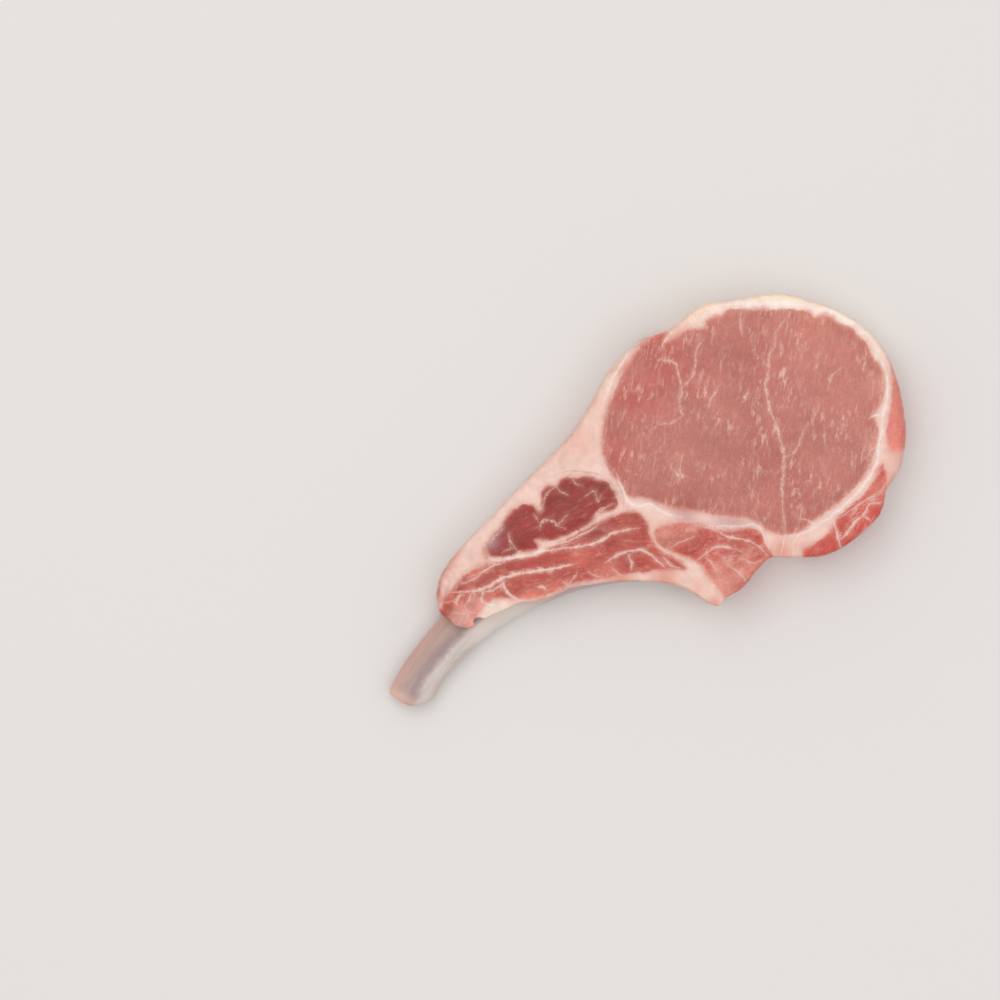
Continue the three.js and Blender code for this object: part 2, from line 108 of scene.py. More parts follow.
# White seams in and between the muscles: half width, then the line's points.
SEAMS = [
    (0.55, [(-47.6, -17.8), (-43.6, -18.1), (-40.1, -17.2), (-36.6, -16.7), (-33.6, -16.0),
            (-30.6, -15.1), (-27.6, -14.6), (-24.1, -14.3), (-20.1, -13.8), (-16.1, -12.8),
            (-13.1, -11.5), (-10.6, -10.0), (-7.6, -9.1), (-3.2, -8.4)]),
    (0.35, [(-28.6, -13.4), (-24.6, -12.6), (-21.6, -11.2), (-18.1, -9.4), (-15.6, -7.9)]),
    (0.65, [(-58.0, -27.6), (-53.6, -27.4), (-50.1, -26.8), (-47.1, -25.6), (-43.9, -23.6),
            (-40.6, -22.6), (-36.6, -21.7), (-32.6, -21.1), (-28.6, -20.6), (-25.6, -20.0),
            (-22.6, -19.3)]),
    (0.4, [(-55.6, -25.0), (-51.6, -23.4), (-48.6, -21.2), (-46.1, -19.6), (-42.6, -18.6)]),
    (0.3, [(-53.4, -22.8), (-50.6, -22.0), (-48.6, -21.2)]),
    (0.45, [(-12.1, -18.3), (-10.1, -17.0), (-7.6, -15.8), (-4.1, -15.0), (-2.1, -14.8), (0.6, -16.2),
            (2.9, -18.2), (4.9, -19.8)]),
    (0.42, [(-6.0, -16.4), (-5.4, -17.4), (-4.9, -18.3), (-4.6, -19.4), (-4.8, -20.4)]),
    (0.3, [(-17.6, -21.4), (-16.2, -22.4), (-14.2, -22.8)]),
    (0.35, [(-10.4, -20.6), (-9.0, -21.8), (-7.4, -22.4)]),
    (0.3, [(-25.4, -24.4), (-23.8, -25.6)]),
    (0.3, [(4.8, -17.2), (6.6, -19.2), (9.4, -20.4)]),
    (0.3, [(24.2, -19.6), (27.0, -21.4), (28.8, -24.0)]),
    (0.28, [(28.4, -17.6), (31.0, -18.6), (33.4, -18.4)]),
    (0.4, [(-33.0, -25.8), (-31.6, -26.0), (-30.3, -26.7)]),
    (0.35, [(-21.4, -22.4), (-22.0, -23.2), (-23.6, -25.0)]),
    (0.55, [(-43.2, -24.2), (-42.6, -26.2), (-41.2, -28.2), (-39.0, -29.6)]),
    (0.5, [(-48.6, -26.0), (-49.2, -27.8), (-49.6, -29.8), (-48.0, -31.0), (-45.6, -31.6)]),
    (0.45, [(-43.8, -25.2), (-46.2, -27.0), (-48.6, -27.4)]),
    (0.4, [(-55.0, -27.5), (-56.6, -29.2), (-57.0, -31.0)]),
    (0.45, [(-52.4, -27.2), (-53.2, -29.2), (-54.8, -31.6)]),
    (0.4, [(14.6, -7.8), (19.8, -8.7), (23.7, -10.7), (27.6, -11.7), (31.6, -13.0), (35.5, -16.2)]),
    (0.32, [(14.0, -7.4), (22.4, -7.8), (27.6, -7.8), (31.6, -7.4), (33.5, -8.4), (34.5, -10.7),
            (35.8, -14.0)]),
    (0.35, [(15.2, -17.6), (18.5, -14.9), (21.8, -13.8), (25.7, -14.6), (27.6, -15.3)]),
    (0.25, [(7.4, -13.8), (10.0, -12.4), (13.4, -10.9)]),
    (0.3, [(17.4, -17.4), (19.4, -19.2), (20.6, -21.8)]),
    (0.3, [(71.3, 5.0), (68.7, 2.3), (64.8, -0.3), (60.9, -2.9), (57.0, -5.2)]),
    (0.45, [(69.4, -0.6), (65.6, -1.6), (64.2, -4.4), (61.2, -7.2), (58.6, -10.6), (56.8, -12.4)]),
    (0.4, [(55.4, -6.2), (56.0, -9.4), (57.0, -12.2), (57.4, -14.8)]),
    (0.35, [(64.2, -4.4), (66.6, -6.6)]),
    (0.35, [(8.0, 50.6), (6.2, 49.0), (4.6, 46.6), (4.0, 45.0)]),
    (0.5, [(67.6, 46.0), (68.4, 43.4), (70.7, 38.6), (71.4, 34.0), (71.0, 29.0), (70.0, 25.2),
            (69.8, 21.0), (68.8, 16.6), (68.4, 12.0), (66.0, 6.6), (62.0, 1.9), (57.6, -2.4),
            (53.8, -5.4), (49.4, -8.4), (44.4, -10.8)]),
    (0.5, [(-9.4, 8.0), (-7.6, 3.4), (-5.6, -0.6), (-3.0, -1.6), (0.6, -1.2), (3.2, -2.8), (6.4, -4.4),
            (9.6, -5.0)]),
    (0.4, [(-13.6, 28.0), (-11.2, 34.4), (-8.0, 40.6), (-4.4, 45.6)]),
    (0.5, [(69.4, 25.2), (67.6, 25.2), (66.4, 24.4)]),
    (0.45, [(69.4, 45.4), (68.2, 43.6), (67.6, 41.8)]),
    (0.4, [(69.2, 15.6), (66.8, 15.0), (65.8, 13.4)]),
    (0.35, [(50.4, -7.4), (47.4, -6.0), (45.6, -5.6)]),
    (0.3, [(40.9, -10.9), (40.6, -13.0), (39.8, -16.2)]),
    (0.25, [(43.8, -11.2), (43.2, -14.0), (43.6, -16.6)]),
    (0.45, [(70.8, -4.0), (67.8, -6.6), (65.4, -8.6), (62.8, -11.4)]),
    (0.25, [(70.2, 2.6), (67.2, 0.4), (63.4, -1.8), (60.4, -5.2)]),
    (0.3, [(-57.6, -33.6), (-55.2, -34.0), (-53.4, -33.2), (-51.4, -34.0)]),
    (0.3, [(-60.4, -30.6), (-58.2, -30.2), (-56.4, -31.4)]),
    (0.3, [(-54.8, -31.6), (-53.6, -33.4), (-54.2, -36.6)]),
]
# Fine veins of fat in the pale muscle and branches in the dark one.
VEINS = [
    (0.32, [(41.0, 53.9), (38.1, 50.0), (37.7, 45.7), (36.1, 42.8), (36.0, 38.9), (35.1, 34.3),
            (35.6, 30.4), (36.8, 25.2), (38.4, 22.2), (39.1, 18.7), (40.7, 13.4), (40.2, 8.9),
            (40.0, 4.3), (40.0, -0.9), (40.6, -6.1), (41.0, -10.7)]),
    (0.2, [(47.2, 22.6), (44.9, 16.7), (43.6, 14.1), (41.0, 12.5)]),
    (0.28, [(3.5, 41.8), (6.4, 41.5), (8.4, 40.2), (9.2, 36.9), (10.2, 33.3), (9.5, 29.1), (10.4, 25.2)]),
    (0.22, [(16.5, 48.0), (14.3, 44.1), (14.1, 41.5), (13.6, 38.2), (12.0, 35.3), (10.2, 33.1)]),
    (0.16, [(10.4, 25.2), (7.4, 23.2), (3.5, 22.6)]),
    (0.2, [(27.4, 55.8), (27.6, 52.6), (28.2, 49.3)]),
    (0.18, [(57.3, 39.2), (54.4, 36.3), (53.7, 33.0)]),
    (0.18, [(21.1, 33.7), (19.6, 31.4), (17.9, 27.8)]),
    (0.2, [(32.9, 10.8), (32.7, 7.6)]),
    (0.2, [(31.6, -3.5), (33.5, -6.8), (35.5, -9.4)]),
    (0.45, [(29.7, 32.0), (29.4, 30.8), (28.8, 29.8)]),
    (0.36, [(40.9, 38.9), (40.2, 37.6), (39.4, 36.5)]),
    (0.36, [(8.0, 8.8), (9.2, 7.6), (10.8, 7.2)]),
    (0.26, [(9.6, 9.6), (9.8, 7.6), (9.2, 6.0)]),
    (0.2, [(50.6, 40.4), (49.8, 39.0)]),
    (0.26, [(-32.1, -8.5), (-31.6, -6.8), (-29.1, -6.0), (-27.1, -7.5), (-24.6, -8.6)]),
    (0.18, [(-26.6, -7.0), (-25.2, -5.8), (-24.1, -4.5)]),
    (0.2, [(-31.4, -2.8), (-31.0, 0.0), (-30.4, 1.7), (-29.2, 3.0), (-27.6, 3.8)]),
    (0.24, [(-27.6, 4.7), (-26.1, 2.6), (-24.1, 1.6)]),
    (0.18, [(-18.4, 1.2), (-16.1, 2.6), (-15.0, -0.4), (-14.1, 1.2)]),
    (0.3, [(-15.6, -5.2), (-14.8, -3.6), (-13.1, -2.4), (-10.4, -1.2)]),
    (0.3, [(-41.3, -10.3), (-40.6, -12.9), (-39.4, -14.8), (-37.2, -15.8), (-33.6, -15.4)]),
    (0.2, [(-43.0, -15.4), (-41.4, -14.6), (-40.0, -14.4)]),
    (0.18, [(-33.8, -4.4), (-32.9, -5.8)]),
    (0.22, [(-46.8, -12.8), (-45.4, -10.4), (-43.4, -8.8)]),
    (0.2, [(-22.1, 6.2), (-21.4, 5.0), (-20.0, 4.4)]),
]
# Fine dark lines in the fat round the dark muscle.
DARK_LINES = [
    (0.14, [(-28.4, 7.2), (-24.0, 8.6), (-19.0, 8.5), (-14.6, 7.6), (-11.0, 5.6), (-8.6, 2.2)]),
    (0.1, [(-14.0, 6.9), (-11.4, 5.0), (-9.2, 2.0), (-8.0, -0.8)]),
    (0.1, [(-10.8, 8.2), (-8.8, 4.6), (-7.4, 1.0), (-7.2, -1.4)]),
    (0.1, [(-49.6, -13.6), (-49.0, -16.4), (-46.8, -18.2), (-42.6, -18.6)]),
    (0.1, [(-46.0, -19.8), (-50.6, -21.0), (-54.4, -23.6)]),
]
# The rib's line, which the meat is lifted over: x, y, height of its middle, half width, half depth.
RIB = [
    (-72.6, -61.4, 3.9, 6.5, 4.2), (-66.1, -50.4, 4.0, 6.5, 4.4), (-60.1, -43.2, 4.1, 6.7, 4.5),
    (-53.5, -36.5, 4.1, 7.2, 4.6), (-45.3, -30.6, 4.1, 7.2, 4.6), (-35.1, -25.5, 4.0, 7.0, 4.5),
    (-23.1, -21.3, 3.9, 6.6, 4.3), (-11.1, -19.2, 3.8, 6.2, 4.2), (0.9, -18.9, 3.7, 5.6, 4.1),
    (10.5, -21.0, 3.5, 4.4, 3.9),
]
RIB_SECTION_POWER, RIB_ROOM = 0.85, 0.2


def smooth_curve(points, per_span, closed):
    """Centripetal Catmull-Rom curve: each span is a cubic whose end slopes come from the three chords
    around it, weighted by the square roots of their lengths."""
    p = np.asarray(points, float)
    if not closed:
        p = np.vstack([2 * p[0] - p[1], p, 2 * p[-1] - p[-2]])
    p0, p1, p2, p3 = (np.roll(p, k, axis=0)[:, None] for k in (1, 0, -1, -2))
    if not closed:
        p0, p1, p2, p3 = (q[1:-2] for q in (p0, p1, p2, p3))
    d0, d1, d2 = (np.sqrt(np.linalg.norm(b - a, axis=2, keepdims=True))
                  for a, b in ((p0, p1), (p1, p2), (p2, p3)))
    m1 = ((p1 - p0) / d0 - (p2 - p0) / (d0 + d1) + (p2 - p1) / d1) * d1
    m2 = ((p2 - p1) / d1 - (p3 - p1) / (d1 + d2) + (p3 - p2) / d2) * d1
    t = np.linspace(0, 1, per_span, endpoint=False)[None, :, None]
    curve = p1 + m1 * t + (3 * (p2 - p1) - 2 * m1 - m2) * t**2 + (2 * (p1 - p2) + m1 + m2) * t**3
    curve = curve.reshape(-1, p.shape[1])
    return curve if closed else np.vstack([curve, p[-2]])


def evenly(path, steps):
    """Points at equal distances along a polyline, read off its running length in plan."""
    run = np.r_[0, np.cumsum(np.linalg.norm(np.diff(path[:, :2], axis=0), axis=1))]
    at = np.linspace(0, run[-1], steps + 1)
    return np.stack([np.interp(at, run, column) for column in path.T], axis=1)


def smoothstep(low, high, x):
    """0 below low, 1 above high, and 3t^2 - 2t^3 between."""
    t = np.clip((x - low) / (high - low), 0, 1)
    return t * t * (3 - 2 * t)


def nearest_on(path, x, y):
    """The nearest place on a polyline in plan: distance, signed distance (positive on its left), and
    the path's further columns and running length there. Each segment is tried in turn."""
    run = np.r_[0, np.cumsum(np.linalg.norm(np.diff(path[:, :2], axis=0), axis=1))]
    best = np.full(x.shape, np.inf)
    side = np.zeros(x.shape)
    place = np.zeros(x.shape)
    for i, (a, b) in enumerate(zip(path[:-1, :2], path[1:, :2])):
        step = b - a
        length = np.hypot(*step)
        if length == 0:
            continue
        share = np.clip(((x - a[0]) * step[0] + (y - a[1]) * step[1]) / length**2, 0, 1)
        dx, dy = x - a[0] - share * step[0], y - a[1] - share * step[1]
        distance = np.hypot(dx, dy)
        nearer = distance < best
        best[nearer] = distance[nearer]
        side[nearer] = np.sign(step[0] * dy - step[1] * dx)[nearer]
        place[nearer] = (run[i] + share * length)[nearer]
    columns = [np.interp(place, run, column) for column in path.T[2:]]
    return best, side * best, columns, place


def depth_inside(loop, x, y):
    """Distance to a closed outline, positive inside it: the nearest segment's distance, with the sign
    from how often a level ray to the right crosses the outline."""
    distance = nearest_on(np.vstack([loop, loop[:1]]), x, y)[0]
    crossings = np.zeros(x.shape, int)
    for a, b in zip(loop, np.roll(loop, -1, axis=0)):
        spans = (a[1] > y) != (b[1] > y)
        crossings += spans & (x < a[0] + (y - a[1]) * (b[0] - a[0]) / (b[1] - a[1] + 1e-12))
    return np.where(crossings % 2 == 1, distance, -distance)


def ripple(x, y, wave, seed, waves=14):
    """Smooth noise from -1 to 1 or so: a sum of sine waves of about that length, in seeded directions."""
    draw = np.random.default_rng(seed)
    total = np.zeros(np.broadcast(x, y).shape)
    for turn, phase, stretch in draw.uniform((0, 0, 0.65), (2 * np.pi, 2 * np.pi, 1.6), (waves, 3)):
        total += np.sin((x * np.cos(turn) + y * np.sin(turn)) * 2 * np.pi / (wave * stretch) + phase)
    return total / np.sqrt(waves)


muscle_loops = {name: smooth_curve(outline, LINE_STEPS, True) for name, (_, outline) in MUSCLES.items()}
rib_line = smooth_curve(RIB, RIB_LINE_STEPS, False)


def seam_lines(lines):
    """Each line smoothed, with a half width that is full in its middle and tapers to its two ends."""
    smooth = [smooth_curve(points, LINE_STEPS, False) for _, points in lines]
    shares = [np.sin(np.pi * np.linspace(0.06, 0.94, len(curve))) ** 0.5 for curve in smooth]
    return [np.column_stack([curve, half * share])
            for (half, _), curve, share in zip(lines, smooth, shares)]


def line_field(lines, x, y):
    """For each point the nearest line's signed distance, its half width there, and how far the point
    lies inside that width, as three columns. Points over 9 mm from every line keep 9, 0.1 and -9."""
    signed, width, reach = (np.full(x.shape, start) for start in (9.0, 0.1, -9.0))
    for line in lines:
        distance, side, (half,), _ = nearest_on(line, x, y)
        nearer = half - distance > reach
        signed[nearer], width[nearer] = side[nearer], half[nearer]
        reach[nearer] = (half - distance)[nearer]
    return np.stack([signed, width, reach], axis=-1)


seam_paths, vein_paths = seam_lines(SEAMS), seam_lines(VEINS)


def top_height(x, y):
    """The upper face: the thickness less its fall to the tail, plus each muscle's crown, a soft
    unevenness, shallow grooves along the seams and lumps at the ragged tail."""
    tail = np.subtract(TAIL_END, EYE_MIDDLE)
    towards_tail = ((x - EYE_MIDDLE[0]) * tail[0] + (y - EYE_MIDDLE[1]) * tail[1]) / np.hypot(*tail)
    height = THICKNESS - TAIL_DROP * smoothstep(TAIL_DROP_FROM, TAIL_DROP_TO, towards_tail)
    lean = np.full(x.shape, -50.0)
    for name, (crown, _) in MUSCLES.items():
        depth = depth_inside(muscle_loops[name], x, y)
        height = height + crown * smoothstep(0, CROWN_RUN, depth)
        lean = np.maximum(lean, depth)
    seam = line_field(seam_paths, x, y)[..., 2]
    height += SWELL * ripple(x, y, wave=26, seed=1) - BORDER_GROOVE * np.exp(-((lean - 0.3) / 1.2) ** 2)
    height += FINE_SWELL * ripple(x, y, wave=5, seed=2) - SEAM_GROOVE * smoothstep(-0.9, 0.3, seam)
    lumps = TAIL_LUMPS * ripple(x, y, wave=6, seed=3) + TAIL_FINE_LUMPS * ripple(x, y, wave=2.6, seed=4)
    height += smoothstep(42, 60, -x) * (lumps - TAIL_SINK)
    return np.minimum(height, HIGHEST)


def base_height(x, y):
    """The lower face: level, but lifted over the rib by the height of its oval section there."""
    distance, _, (middle, half_width, half_depth), _ = nearest_on(rib_line, x, y)
    width, depth = half_width + RIB_ROOM, half_depth + RIB_ROOM
    rise = np.clip(1 - (distance / width) ** (2 / RIB_SECTION_POWER), 0, 1) ** (RIB_SECTION_POWER / 2)
    return np.where(distance < width, middle + depth * rise, 0.0)


def slab_sections():
    """Cross-section loops from the tail to the far end, as one array of points. Each joins the two
    long edges at equal shares of their lengths: across the upper face, down the near side, back
    under the base and up the far side. A side stands in from its widest line by bulge * (1 - cos^p)
    and is at the share 0.5 + 0.5 sin^p of the height, for angles from the top to the base. Shallow
    dents, deepest at mid height, fade out towards the two ends of each edge."""
    loop = smooth_curve(SLAB, OUTLINE_STEPS, True)
    run = np.roll(loop, -1, axis=0)[:, :2] - np.roll(loop, 1, axis=0)[:, :2]
    window = np.hanning(2 * OUTLINE_REACH + 1)
    window = window / window.sum()
    run = np.stack([np.convolve(np.r_[c[-OUTLINE_REACH:], c, c[:OUTLINE_REACH]], window, "valid")
                    for c in run.T], axis=1)
    inward = np.stack([run[:, 1], -run[:, 0]], axis=1) / np.linalg.norm(run, axis=1, keepdims=True)
    loop = np.vstack([np.column_stack([loop, inward])] * 2)
    turn = OUTLINE_STEPS * max(range(len(SLAB)), key=lambda i: SLAB[i][0])
    edges = evenly(loop[:turn + 1], STATIONS), evenly(loop[turn:len(loop) // 2 + 1], STATIONS)[::-1]

    angle = np.pi * np.linspace(0.5, -0.5, SIDE_STEPS + 1)
    inset = 1 - np.cos(angle).clip(0) ** SIDE_SQUARENESS
    level = 0.5 + 0.5 * np.sign(np.sin(angle)) * np.abs(np.sin(angle)) ** SIDE_SQUARENESS
    sides = []
    for number, edge in enumerate(edges):
        rim, bulge, way = edge[:, None, :2], edge[:, None, 2:3], edge[:, None, 3:]
        top = top_height(*(rim + bulge * way)[:, 0].T)
        around = np.linspace(0, SIDE_RUN, STATIONS + 1)[:, None]
        dent = ripple(around, 30 * level, wave=9, seed=10 + number)
        dent = DENT_DEPTH * (dent + 0.5 * ripple(around, 40 * level, wave=3.2, seed=20 + number))
        fade = smoothstep(0, SIDE_END_RUN, np.minimum(around, SIDE_RUN - around))
        dent = (DENT_LEAST + np.abs(dent)) * np.cos(angle).clip(0) * fade
        xy = rim + way * (bulge * inset[:, None] + dent[..., None])
        low = base_height(xy[..., 0], xy[..., 1]).max(axis=1, keepdims=True)
        sides.append(np.dstack([xy, low + (top[:, None] - low) * level]))
    far, near = sides

    def across(start, end, steps, height):
        share = np.linspace(0, 1, steps + 1)[None, 1:-1, None]
        xy = start[:, None, :2] * (1 - share) + end[:, None, :2] * share
        return np.dstack([xy, height(xy[..., 0], xy[..., 1])])

    return np.concatenate([
        across(far[:, 0], near[:, 0], TOP_STEPS, top_height), near,
        across(near[:, -1], far[:, -1], BASE_STEPS, base_height), far[:, ::-1]], axis=1)


def lofted_mesh(name, sections, capped):
    """A closed mesh in metres from cross-section loops given in millimetres: quads between each loop
    and the next, and coincident corners merged. The first and last loop get a fan over them, unless
    each is folded flat and so closes by itself."""
    count, around, _ = sections.shape
    grid = np.arange(count * around).reshape(count, around)
    beside = np.roll(grid, -1, axis=1)
    quads = np.stack([grid[:-1], beside[:-1], beside[1:], grid[1:]], axis=-1).reshape(-1, 4)
    first, last = count * around, count * around + 1
    fans = np.concatenate([
        np.stack([np.full(around, first), beside[0], grid[0]], axis=-1),
        np.stack([np.full(around, last), grid[-1], beside[-1]], axis=-1)])
    points = np.vstack([sections.reshape(-1, 3), sections[0].mean(0), sections[-1].mean(0)]) * 0.001
    mesh = bpy.data.meshes.new(name)
    mesh.from_pydata(points.tolist(), [], quads.tolist() + (fans.tolist() if capped else []))
    work = bmesh.new()
    work.from_mesh(mesh)
    bmesh.ops.remove_doubles(work, verts=work.verts, dist=2e-6)
    bmesh.ops.delete(work, geom=[v for v in work.verts if not v.link_faces], context="VERTS")
    work.to_mesh(mesh)
    work.free()
    mesh.shade_smooth()
    piece = bpy.data.objects.new(name, mesh)
    bpy.context.scene.collection.objects.link(piece)
    return piece


def corners_of(piece):
    """The mesh's corner points in millimetres, one row each."""
    flat = np.empty(len(piece.data.vertices) * 3)
    piece.data.vertices.foreach_get("co", flat)
    return flat.reshape(-1, 3) * 1000


def paint(piece, name, values):
    """Stores one number, vector or colour for each corner of the mesh."""
    kind, field = {1: ("FLOAT", "value"), 3: ("FLOAT_VECTOR", "vector"), 4: ("FLOAT_COLOR", "color")}[
        1 if values.ndim == 1 else values.shape[1]]
    layer = piece.data.attributes.new(name, kind, "POINT")
    layer.data.foreach_set(field, np.ascontiguousarray(values, dtype=np.float32).ravel())


def tint(code):
    """A colour written as six hex digits, in linear light."""
    c = np.array([int(code[i:i + 2], 16) for i in (0, 2, 4)]) / 255
    return np.where(c <= 0.04045, c / 12.92, ((c + 0.055) / 1.055) ** 2.4)


chop = lofted_mesh("chop_meat", slab_sections(), False)
x, y, z = corners_of(chop).T
below = (top_height(x, y) - z).clip(0)

# The muscles slant a little through the thickness, so lower down the pattern is read some way off.
SLANT_X, SLANT_Y, DRIFT = 0.1, -0.06, 0.9
drift = smoothstep(0.4, 4, below)
x = x + SLANT_X * below + drift * DRIFT * ripple(x + y, 1.4 * z, wave=15, seed=41)
y = y + SLANT_Y * below + drift * DRIFT * ripple(x - y, 1.4 * z, wave=15, seed=42)

# How deep each point lies in each muscle, and in any of them. On the sides the meat's borders stand
# further in and waver, and the seams are thinner.
SIDE_SETBACK, SIDE_WAVER, SEAM_THINNING = 0.7, 0.6, 0.6
depths = {name: depth_inside(loop, x, y) for name, loop in muscle_loops.items()}
lean = np.max(list(depths.values()), axis=0)
side = smoothstep(0.5, 3, below)
waver = ripple(x, y + z, wave=12, seed=43)
lean -= side * (SIDE_SETBACK + waver + SIDE_WAVER * ripple(x - y, 2 * z, wave=4, seed=44))
paint(chop, "lean_depth", lean)
seam = line_field(seam_paths, x, y)
seam[:, 1] *= 1 - SEAM_THINNING * side
paint(chop, "seam", seam)
paint(chop, "vein", line_field(vein_paths, x, y))
paint(chop, "dark_line", line_field(seam_lines(DARK_LINES), x, y))

# The lean's colour: each muscle has its own, and soft patches vary it. A patch has x, y and a radius.
LEAN = {"eye": "c0766b", "dark": "9d3b34", "rib_meat": "b1473d", "inner": "c2564b", "side": "c84b40",
        "rim": "d87c71", "tail_strip": "cb8a78"}
PATCHES = {
    "be6056": [(7, 39, 9), (-4, 30, 6), (-9, 14, 5), (2, 47, 4)],                            # rose
    "cd8072": [(26, 53, 6), (45, 53, 9), (60, 38, 11)],                                      # tan pink
    "bf776b": [(8, 14, 9), (20, 25, 9), (55, 15, 8)],                                        # dusty pink
    "b96c61": [(30, 42, 10), (38, 12, 8), (12, 0, 7), (45, -3, 8)],                          # dull red
    "b79296": [(-47, -12.5, 2.4), (-44.6, -8.2, 1.8)],                                       # grey film
    "953f37": [(-26, -3, 5), (-12, 3, 3.5), (-16, -9, 3)],                                   # wine
    "cb6b5b": [(-59, -31, 3), (-28, -26.5, 3.5), (-52, -22, 4), (-20, -17, 3.5)],            # warm red
    "bb574b": [(-48, -28.4, 2), (-43, -27.4, 3), (-5, -10, 4), (3, -17, 4), (26, -14, 4)],   # red
    "d37b6c": [(-51.8, -37.2, 1.4), (-35, -28.5, 3), (-12, -21.5, 3.5), (31, -20, 3.5),
               (70, 3, 4), (10, -9, 3)],                                                     # light red
    "dc998b": [(-54, -33.5, 3.6), (-50, -31, 3), (22, -25.5, 5), (5, -10.5, 2.8), (24, -18.5, 1.6),
               (27.8, -22, 1.8), (20.6, -20.6, 1.4), (29.6, -16.4, 1.2), (-52, -29.6, 1.6), (-57, -34.6, 2),
               (69.5, 34, 3.5), (67.5, 17, 3)],                                              # pale pink
    "e0b0a6": [(-55.5, -37, 3)],                                                             # milky pink
    "cb4c40": [(34, -13, 2), (60, -11, 4), (66, -5, 2.5)],                                   # bright red
}


def patched(base, patches, strength):
    """The base colours with each patch blended in by strength * exp(-d^2 / 2s^2), d the distance from
    the patch's middle and s three quarters of its radius."""
    for code, places in patches.items():
        for px, py, radius in places:
            spread = 2 * (0.75 * radius) ** 2
            share = strength * np.exp(-((x - px) ** 2 + (y - py) ** 2) / spread)[:, None]
            base = base * (1 - share) + tint(code) * share
    return base


# Each point belongs to the muscle it lies deepest in. The ragged tail's meat is painted lighter and
# darker in blotches, painted light and shade for its lumps.
TAIL_LUMP_SHADING = 0.13
names = list(depths)
owner = np.argmax([depths[n] for n in names], axis=0)
tone = patched(np.array([tint(LEAN[n]) for n in names])[owner], PATCHES, 0.85)
tone *= 1 + TAIL_LUMP_SHADING * (smoothstep(40, 56, -x) * ripple(x, y, wave=5, seed=3))[:, None]
paint(chop, "lean_tone", np.column_stack([tone, np.ones(len(x))]))

# How much of the lean a whitish film veils: most on the sides and in the inner muscle, none in the dark
# one. Along the rib meat's inner edge the film frays into a fringe.
VEIL = {"eye": 0.1, "dark": 0.0, "rib_meat": 0.18, "inner": 0.6, "side": 0.25, "rim": 0.3,
        "tail_strip": 0.3}
SIDE_VEIL, FRINGE_VEIL, FRINGE_DEPTH = 0.6, 0.85, 1.6
_, across_rib, _, along_rib = nearest_on(rib_line, x, y)
fringe = smoothstep(2, 0, np.abs(depths["rib_meat"] - FRINGE_DEPTH) - 1)
fringe = FRINGE_VEIL * smoothstep(0.5, -4.5, across_rib) * fringe
veil = np.array([VEIL[n] for n in names])[owner]
paint(chop, "veil", np.maximum(np.maximum(veil, SIDE_VEIL * side), fringe))

# The fat's colour: a pale pink varied by soft patches, and a warmer cream on the outside of the cap.
FAT, OUTER_FAT = "efcfc3", "fbdfc4"
FAT_PATCHES = {
    "ffeee3": [(36, 60, 17), (58, 56, 9)],                                                   # white
    "f0dacb": [(-45, -32.4, 4)],                                                             # cream
    "ebc9bc": [(-56, -20, 7), (73, 36, 5), (69, 8, 4), (53, -8, 4), (-7, 0, 3.5),
               (-30, 14, 12)],                                                               # pale blush
    "eabfb1": [(-21, 18, 6), (8, 53, 5), (-16, 30, 4), (46, -14, 3), (15, -27, 4), (-30, -30, 5),
               (2, -8, 3)],                                                                  # blush
    "e5b1a4": [(-1, 48, 4), (-9, 40, 4), (75, 13, 4), (-61, -32, 4), (-56, -41, 3),
               (-48, -17, 3)],                                                               # pink
    "df9d8a": [(40, -15, 3.2), (20, -31, 2), (5, -24, 4), (-8, -24, 4), (73.5, 5, 3)],       # peach
    "d4aaa5": [(11, -4, 4), (25, -6, 6)],                                                    # silver skin
}
fat = patched(np.tile(tint(FAT), (len(x), 1)), FAT_PATCHES, 1.0)
outer = np.maximum(smoothstep(0.3, 2, below), smoothstep(-1.4, -3.4, lean))
warm = (0.7 * outer * smoothstep(20, 50, y))[:, None]
fat = fat * (1 - warm) + tint(OUTER_FAT) * warm
paint(chop, "fat_tone", np.column_stack([fat, np.ones(len(x))]))

# The grain: how far across and along its streaks each point lies, and how strong they are. Each muscle
# has its streaks' turn in degrees and their strength, and where none is given they follow the rib.
GRAIN = {"eye": (80, 1.0), "dark": (35, 0.3), "inner": (25, 0.5), "side": (50, 0.5), "rim": (85, 0.35)}
RIB_GRAIN = 0.35
grain = np.column_stack([across_rib, along_rib, np.full(len(x), RIB_GRAIN)])
for muscle, (turn, strength) in GRAIN.items():
    way = np.radians(turn)
    inside = owner == names.index(muscle)
    straight = np.column_stack([
        y * np.cos(way) - x * np.sin(way), x * np.cos(way) + y * np.sin(way), np.full(len(x), strength)])
    grain[inside] = straight[inside]
paint(chop, "grain", grain)


